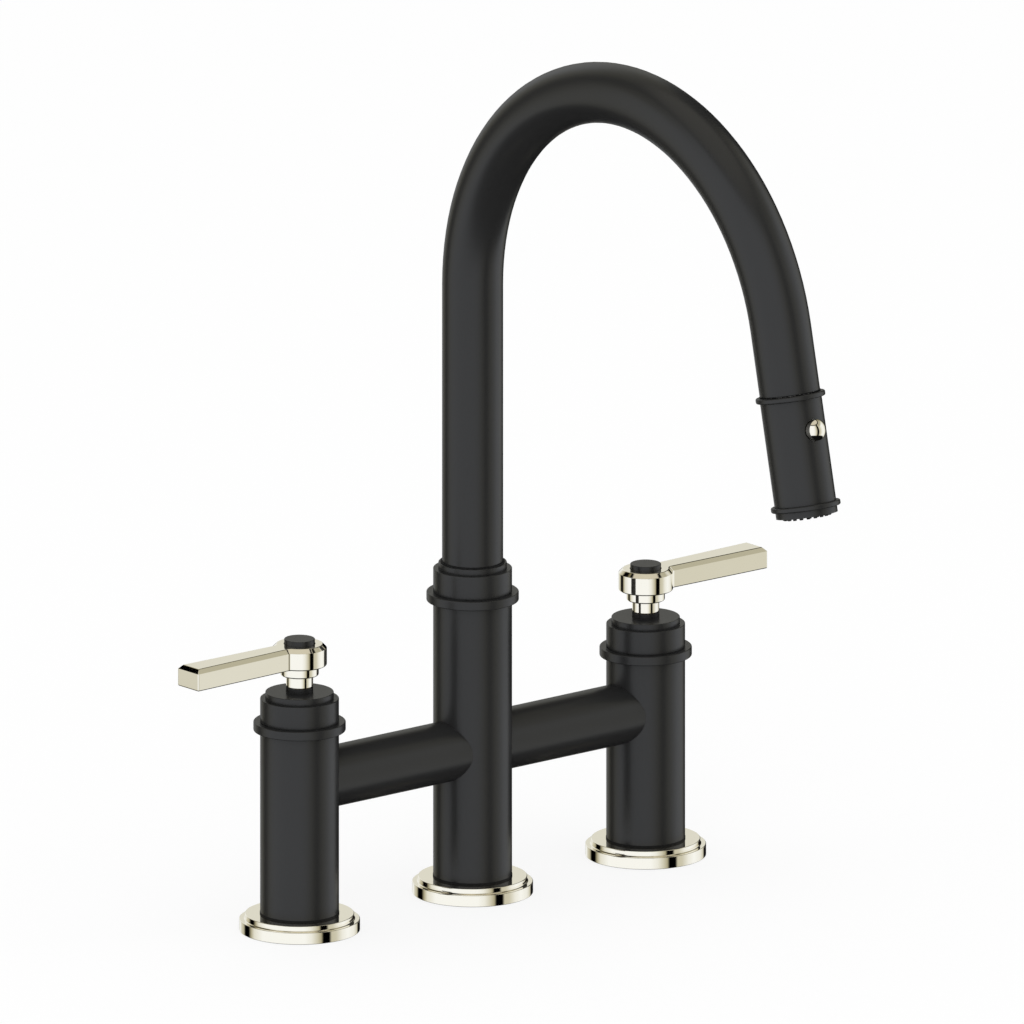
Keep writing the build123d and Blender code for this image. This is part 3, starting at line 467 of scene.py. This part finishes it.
rubber = {
    "fresh": (0.006, 0.006, 0.006, 1),
    "bloomed": (0.012, 0.012, 0.0125, 1),
    "bloom": 240,
    "grain": 3000,
    "rough": 0.52,
    "bloomRough": 0.14,
    "bump": 0.4,
    "deep": 0.00004,
}


def blackRubber(draw):
    bloom = noise(draw, rubber["bloom"])  # the faint grey bloom of cured rubber
    grain = noise(draw, rubber["grain"], 2.0)
    return {
        "Base Color": bloom.tint(rubber["fresh"], rubber["bloomed"]),
        "Roughness": rubber["rough"] + (bloom - 0.5) * rubber["bloomRough"],
        "Normal": bump(draw, grain, rubber),
    }


finish("rubber", "curedRubber", blackRubber, slanted, IOR=1.22)

# the hose's braid, worked out from where its straight stretch leaves the spout
spoutEnd = {"reach": 0.21566, "level": 0.30663, "tip": math.radians(12.4)}
hose = {
    "radius": 0.0056,
    "strands": 14,
    "lay": 1.0,
    "yarn": (0.020, 0.020, 0.021, 1),
    "gap": (0.004, 0.004, 0.004, 1),
    "fibre": 2600,
    "fuzz": 0.2,
    "rough": 0.55,
    "fibreRough": 0.2,
    "bump": 0.8,
    "deep": 0.0003,
}


def hoseBraid(draw):
    place = draw.node("ShaderNodeTexCoord", out="Object")
    flat = place.scaled((1, 1, 0))
    out = draw.node("ShaderNodeVectorMath", {"operation": "LENGTH"}, {0: flat}, "Value")
    beyond = out - spoutEnd["reach"]
    above = place.dot((0, 0, 1)) - spoutEnd["level"]
    along = beyond * math.sin(spoutEnd["tip"]) - above * math.cos(spoutEnd["tip"])
    aside = beyond * math.cos(spoutEnd["tip"]) + above * math.sin(spoutEnd["tip"])
    around = draw.maths("ARCCOSINE", (aside / hose["radius"]).held(-1.0, 1.0)) * hose["strands"]
    run = along * (hose["strands"] / (hose["radius"] * hose["lay"]))
    weave = draw.maths("SINE", around + run) * draw.maths("SINE", around - run)
    crown = draw.maths("ABSOLUTE", weave)
    fibre = noise(draw, hose["fibre"], 2.0)
    return {
        "Base Color": crown.tint(hose["gap"], hose["yarn"]),
        "Roughness": hose["rough"] + (fibre - 0.5) * hose["fibreRough"],
        "Normal": bump(draw, crown + fibre * hose["fuzz"], hose),
    }


finish("hose_nylon", "braidedNylon", hoseBraid, IOR=1.53)

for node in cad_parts.values():
    for slot in node.material_slots:
        slot.material = finishes[slot.material.name]
print("finishes in:", len(finishes))

# round and plate pieces with finely rounded edges; sizes in millimetres
mm = 0.001
postPlaces = {"hot": -101.6, "centre": 0, "cold": 101.6}
leverHeadings = {"hot": math.pi, "cold": 0.0}  # each bar's turn from +X


def softened(corners, steps=5):  # corners are (x, z, rounding), walked with the solid on the left
    walls = []
    for (x0, z0, _), (x1, z1, _) in zip(corners, corners[1:]):
        run = Vector((x1 - x0, z1 - z0)).normalized()
        walls.append((run, Vector((run.y, -run.x))))
    line = [(corners[0][0], corners[0][1], *walls[0][1])]
    for (x, z, rounding), (runIn, outIn), (runOut, outOut) in zip(corners[1:-1], walls, walls[1:]):
        at = Vector((x, z))
        if rounding == 0:
            line += [(x, z, *outIn), (x, z, *outOut)]
            continue
        angle = math.atan2(runIn.x * runOut.y - runIn.y * runOut.x, runIn.dot(runOut))
        start = at - runIn * rounding * abs(math.tan(angle / 2))
        middle = start - outIn * math.copysign(rounding, angle)
        for i in range(steps + 1):
            turned = angle * i / steps
            out = Vector((outIn.x * math.cos(turned) - outIn.y * math.sin(turned),
                          outIn.x * math.sin(turned) + outIn.y * math.cos(turned)))
            line.append((*(middle + out * math.copysign(rounding, angle)), *out))
    line.append((corners[-1][0], corners[-1][1], *walls[-1][1]))
    return line


def pieceFrom(name, corners, faces, normals, slotName, body, node=None):
    mesh = bpy.data.meshes.new(name)
    mesh.from_pydata([Vector(corner) * mm for corner in corners], [], faces)
    mesh.polygons.foreach_set("use_smooth", [True] * len(faces))
    mesh.normals_split_custom_set_from_vertices([Vector(normal).normalized() for normal in normals])
    mesh.materials.append(finishes[slotName])
    piece = bpy.data.objects.new(name, mesh)
    scene.collection.objects.link(piece)
    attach(piece, body)
    if node:
        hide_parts(node)
    return piece


# the loop without corners that fall on the one before: faces with no area spoil the normals
def apart(corners, loop, least=1e-6):
    kept = []
    for i, last in zip(loop, [loop[-1], *loop[:-1]]):
        if (Vector(corners[i]) - Vector(corners[last])).length > least:
            kept.append(i)
    return kept


def skin(rings):  # faces between rings of points, left out where two rings are in one place
    corners, normals, faces = [], [], []
    count = len(rings[0])
    for ring in rings:
        for point, normal in ring:
            corners.append(point)
            normals.append(normal)
    for i in range(len(rings) - 1):
        for j in range(count):
            k = (j + 1) % count
            lower, upper = i * count, (i + 1) * count
            face = apart(corners, [lower + j, lower + k, upper + k, upper + j])
            if len(face) > 2:
                faces.append(tuple(face))
    return corners, normals, faces


def turnedPiece(name, corners, at, slotName, body, node=None, sides=160, frameAt=None):
    rings = []
    for r, z, outward, upward in softened(corners):
        ring = []
        for j in range(sides):
            a = 2 * math.pi * j / sides
            point = (at + r * math.cos(a), r * math.sin(a), z)
            ring.append((point, (outward * math.cos(a), outward * math.sin(a), upward)))
        rings.append(ring)
    corners, normals, faces = skin(rings)
    if frameAt:
        corners = [frameAt @ Vector(corner) for corner in corners]
        normals = [frameAt.to_3x3() @ Vector(normal) for normal in normals]
    return pieceFrom(name, corners, faces, normals, slotName, body, node)


flange = {
    "rim": 27.195, "step": 24.6, "base": 5.3, "top": 7.7, "post": 17.2,
    "cove": 0.6, "edge": 0.35, "under": 0.25, "sides": 224,
}
for side, at in postPlaces.items():
    turnedPiece(
        side + "FlangePlate",
        (
            (flange["post"], 0, 0),
            (flange["rim"], 0, flange["under"]),
            (flange["rim"], flange["base"], flange["edge"]),
            (flange["step"], flange["base"], flange["cove"]),
            (flange["step"], flange["top"], flange["edge"]),
            (flange["post"], flange["top"], 0),
            (flange["post"], 0, 0),
        ),
        at, "champagne_gold", "root", side + "_flange", flange["sides"],
    )

stem = {
    "bore": 2.0, "radius": 6.1, "foot": 113.5, "footEdge": 0.15, "cove": 0.2,
    "collar": 8.65, "collarFoot": 118.5, "edge": 0.75, "top": 123.2, "topEdge": 0.3,
}
for side in leverHeadings:
    turnedPiece(
        side + "Stem",
        (
            (stem["bore"], stem["foot"], 0),
            (stem["radius"], stem["foot"], stem["footEdge"]),
            (stem["radius"], stem["collarFoot"], stem["cove"]),
            (stem["collar"], stem["collarFoot"], stem["edge"]),
            (stem["collar"], stem["top"], stem["topEdge"]),
            (stem["bore"], stem["top"], 0),
        ),
        postPlaces[side], "champagne_gold", side + "_lever", side + "_lever_stem",
    )
print("flanges and stems in")

lever = {
    "hub": 12.3, "reach": 65.5, "rootHalf": 5.9, "endHalf": 7.25, "neck": 2.0, "corner": 0.5,
    "foot": stem["top"], "top": 133.1, "bevel": 1.9,
    "underEdge": 0.7, "bevelFoot": 0.4, "bevelTop": 0.8,
    "hubSteps": 48, "neckSteps": 10, "cornerSteps": 6,
    "well": 7.2, "wellDepth": 6, "wellSides": 96,
}


# the lever from above, pointing along +X, drawn in by inset: points with their outward directions
def leverOutline(inset):
    run = Vector((lever["reach"], lever["endHalf"] - lever["rootHalf"])).normalized()
    out = Vector((-run.y, run.x))
    root = Vector((0, lever["rootHalf"]))
    reach = lever["hub"] + lever["neck"]
    along = -root.dot(run) + math.sqrt(reach**2 - (root.dot(out) + lever["neck"]) ** 2)
    # the middle of the rounding between hub and bar
    elbow = root + along * run + lever["neck"] * out
    start = math.atan2(elbow.y, elbow.x)
    half = []
    steps = lever["hubSteps"]
    for i in range(steps + 1):  # round the hub, from its back to the neck
        a = start + (math.pi - start) * (steps - i) / steps
        away = Vector((math.cos(a), math.sin(a)))
        half.append((away * (lever["hub"] - inset), away))
    fromHub, fromBar = math.atan2(-elbow.y, -elbow.x), math.atan2(-out.y, -out.x)
    for i in range(1, lever["neckSteps"] + 1):
        a = fromHub + (fromBar - fromHub) * i / lever["neckSteps"]
        inward = Vector((math.cos(a), math.sin(a)))
        half.append((elbow + inward * (lever["neck"] + inset), -inward))
    tight = max(lever["corner"], inset)
    across = (lever["reach"] - tight - (root - out * tight).x) / run.x
    knuckle = root - out * tight + run * across
    for i in range(lever["cornerSteps"] + 1):
        a = math.atan2(out.y, out.x) * (1 - i / lever["cornerSteps"])
        away = Vector((math.cos(a), math.sin(a)))
        half.append((knuckle + away * (tight - inset), away))
    mirrored = [(Vector((p.x, -p.y)), Vector((n.x, -n.y))) for p, n in reversed(half[1:])]
    return half + mirrored  # clockwise from the hub's back


def leverPiece(side, heading):
    at = postPlaces[side]
    inside = -3  # the two ends give only the direction of the flat faces, and are dropped
    profile = softened(
        (
            (inside, lever["foot"], 0),
            (0, lever["foot"], lever["underEdge"]),
            (0, lever["top"] - lever["bevel"], lever["bevelFoot"]),
            (-lever["bevel"], lever["top"], lever["bevelTop"]),
            (inside, lever["top"], 0),
        )
    )[1:-1]
    spin = Matrix.Rotation(heading, 3, "Z")
    rings = []
    for x, z, outward, upward in profile:
        ring = []
        for point, away in leverOutline(-x):
            place = spin @ Vector((point.x, point.y, 0))
            normal = spin @ Vector((away.x * outward, away.y * outward, upward))
            ring.append(((at + place.x, place.y, z), normal))
        rings.append(ring[::-1])
    corners, normals, faces = skin(rings)
    count = len(rings[0])
    faces.append(tuple(apart(corners, list(reversed(range(count))))))
    last = len(corners) - count
    rim = apart(corners, list(range(last, last + count)))
    # the well that the cap stands in: its edge in the top face, then its wall
    sides = lever["wellSides"]
    bottom = lever["top"] - lever["wellDepth"]
    for z, facesUp in ((lever["top"], True), (lever["top"], False), (bottom, False)):
        for j in range(sides):
            a = 2 * math.pi * j / sides
            corners.append((at + lever["well"] * math.cos(a), lever["well"] * math.sin(a), z))
            normals.append((0, 0, 1) if facesUp else (-math.cos(a), -math.sin(a), 0))
    edge = [last + count + j for j in range(sides)]
    loops = [[Vector(corners[i]) for i in rim], [Vector(corners[i]) for i in edge]]
    order = rim + edge
    for triangle in tessellate_polygon(loops):
        a, b, c = (order[i] for i in triangle)
        first, second, third = (Vector(corners[i]) for i in (a, b, c))
        up = (second - first).cross(third - first).z
        faces.append((a, b, c) if up > 0 else (a, c, b))
    upperRow, lowerRow = edge[0] + sides, edge[0] + 2 * sides
    for j in range(sides):
        k = (j + 1) % sides
        faces.append((upperRow + j, upperRow + k, lowerRow + k, lowerRow + j))
    body = side + "_lever"
    return pieceFrom(side + "LeverBar", corners, faces, normals, "champagne_gold", body, body)


for side, heading in leverHeadings.items():
    leverPiece(side, heading)
print("levers in")

# thin dark rubber rings put into the seams as painted shade, to darken the seam lines: at the foot
# of the pipe, where the head meets it, and at the foot of each post
pipeSeamShade = {"inner": 13.80, "outer": 14.5, "foot": 153.8, "height": 0.55, "edge": 0.25}
turnedPiece(
    "pipeFootShadeRing",
    (
        (pipeSeamShade["inner"], pipeSeamShade["foot"], 0),
        (pipeSeamShade["outer"], pipeSeamShade["foot"], 0),
        (pipeSeamShade["outer"], pipeSeamShade["foot"] + pipeSeamShade["height"], pipeSeamShade["edge"]),
        (pipeSeamShade["inner"], pipeSeamShade["foot"] + pipeSeamShade["height"], 0),
    ),
    0, "rubber", "root",
)

# the spray head's frame: Z down its axis from the spout's end, Y out through the button
tip = spoutEnd["tip"]
headFrame = Matrix(
    (
        (1, 0, 0, 0),
        (0, -math.cos(tip), -math.sin(tip), -spoutEnd["reach"] / mm),
        (0, math.sin(tip), -math.cos(tip), spoutEnd["level"] / mm),
        (0, 0, 0, 1),
    )
)
# a dark ring just inside the spout's end, at the gap to the head: painted shade that deepens the
# seam line there
headSeamShade = {"inner": 13.70, "outer": 13.95, "start": 29.45, "end": 29.8, "edge": 0.1}
turnedPiece(
    "headGapShadeRing",
    (
        (headSeamShade["inner"], headSeamShade["start"], 0),
        (headSeamShade["outer"], headSeamShade["start"], headSeamShade["edge"]),
        (headSeamShade["outer"], headSeamShade["end"], headSeamShade["edge"]),
        (headSeamShade["inner"], headSeamShade["end"], 0),
    ),
    0, "rubber", "spout", frameAt=headFrame,
)
# dark rings round each post's foot, on the flange: painted shade for the contact line there
postSeamShade = {"inner": 17.70, "outer": 17.9, "foot": flange["top"], "top": 8.5, "edge": 0.15}
for side, at in postPlaces.items():
    turnedPiece(
        side + "FootShadeRing",
        (
            (postSeamShade["inner"], postSeamShade["foot"], 0),
            (postSeamShade["outer"], postSeamShade["foot"], 0),
            (postSeamShade["outer"], postSeamShade["top"], postSeamShade["edge"]),
            (postSeamShade["inner"], postSeamShade["top"], 0),
        ),
        at, "rubber", "root",
    )
print("seams in")

# the button's spring; its station is along the head's
# axis, its seat out from it
spring = {
    "station": 46.7, "seat": 6.4, "free": 5.0, "radius": 3.9, "wire": 0.2, "turns": 5,
    "clear": 0.05, "travel": 2.5, "steps": 40, "sides": 10,
}
rise = spring["free"] - 2 * (spring["wire"] + spring["clear"])
lowest = spring["seat"] + spring["wire"] + spring["clear"]
stretches = spring["turns"] * spring["steps"]
rings = []
for i in range(stretches + 1):
    a = 2 * math.pi * i / spring["steps"]
    outward = Vector((math.cos(a), 0, math.sin(a)))
    level = lowest + rise * i / stretches
    middle = Vector((0, level, spring["station"])) + outward * spring["radius"]
    ring = []
    for j in range(spring["sides"]):
        b = 2 * math.pi * j / spring["sides"]
        normal = outward * math.cos(b) + Vector((0, math.sin(b), 0))
        ring.append((headFrame @ (middle + normal * spring["wire"]), headFrame.to_3x3() @ normal))
    rings.append(ring)
corners, normals, faces = skin(rings)
last = len(corners) - spring["sides"]
faces.append(tuple(reversed(range(spring["sides"]))))
faces.append(tuple(last + j for j in range(spring["sides"])))
springCoil = pieceFrom("springCoil", corners, faces, normals, "steel", "spray_head", "button_spring")
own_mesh(springCoil)
print("spring in")

# hose: its stretch up the riser and round the bend, and the tail at the end of the bend;
# lengths in metres, arc and tail in degrees
bend = {
    "radius": 0.1091, "start": 0.2832, "arc": 167.6, "bottom": 0.0143, "tail": 8.0,
    "riserSteps": 40, "archSteps": 80, "tailSteps": 60,
}


def bendPoint(angle):  # a point of the gooseneck's centreline, angle from the riser, in degrees
    a = math.radians(angle)
    radius = bend["radius"]
    return Vector((0, -radius * (1 - math.cos(a)), bend["start"] + radius * math.sin(a)))


def tube(name, line, radius, sides=48):
    corners, faces = [], []
    across = Vector((1, 0, 0))
    for i, point in enumerate(line):
        ahead = (line[min(i + 1, len(line) - 1)] - line[max(i - 1, 0)]).normalized()
        other = ahead.cross(across)
        for j in range(sides):
            a = 2 * math.pi * j / sides
            corners.append(point + radius * (math.cos(a) * across + math.sin(a) * other))
    for i in range(len(line) - 1):
        for j in range(sides):
            k = (j + 1) % sides
            lower, upper = i * sides, (i + 1) * sides
            faces.append((lower + j, lower + k, upper + k, upper + j))
    faces.append(tuple(range(sides - 1, -1, -1)))
    faces.append(tuple((len(line) - 1) * sides + j for j in range(sides)))
    mesh = bpy.data.meshes.new(name)
    mesh.from_pydata(corners, [], faces)
    mesh.polygons.foreach_set("use_smooth", [len(face) == 4 for face in faces])
    mesh.materials.append(finishes["hose_nylon"])
    piece = bpy.data.objects.new(name, mesh)
    scene.collection.objects.link(piece)
    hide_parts("spray_hose")
    return piece


riserHeight = bend["start"] - bend["bottom"]
riserLine = []
for i in range(bend["riserSteps"] + 1):
    riserLine.append(Vector((0, 0, bend["bottom"] + riserHeight * i / bend["riserSteps"])))
archLine = []
for i in range(1, bend["archSteps"] + 1):
    archLine.append(bendPoint((bend["arc"] - bend["tail"]) * i / bend["archSteps"]))
tailLine = []
for i in range(bend["tailSteps"] + 1):
    tailLine.append(bendPoint(bend["arc"] - bend["tail"] * (1 - i / bend["tailSteps"])))
hoseRun = tube("hoseRun", riserLine + archLine, hose["radius"])
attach(hoseRun, "spout")
hoseTail = tube("hoseTail", tailLine, hose["radius"])
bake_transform(hoseTail)
print("hose in")
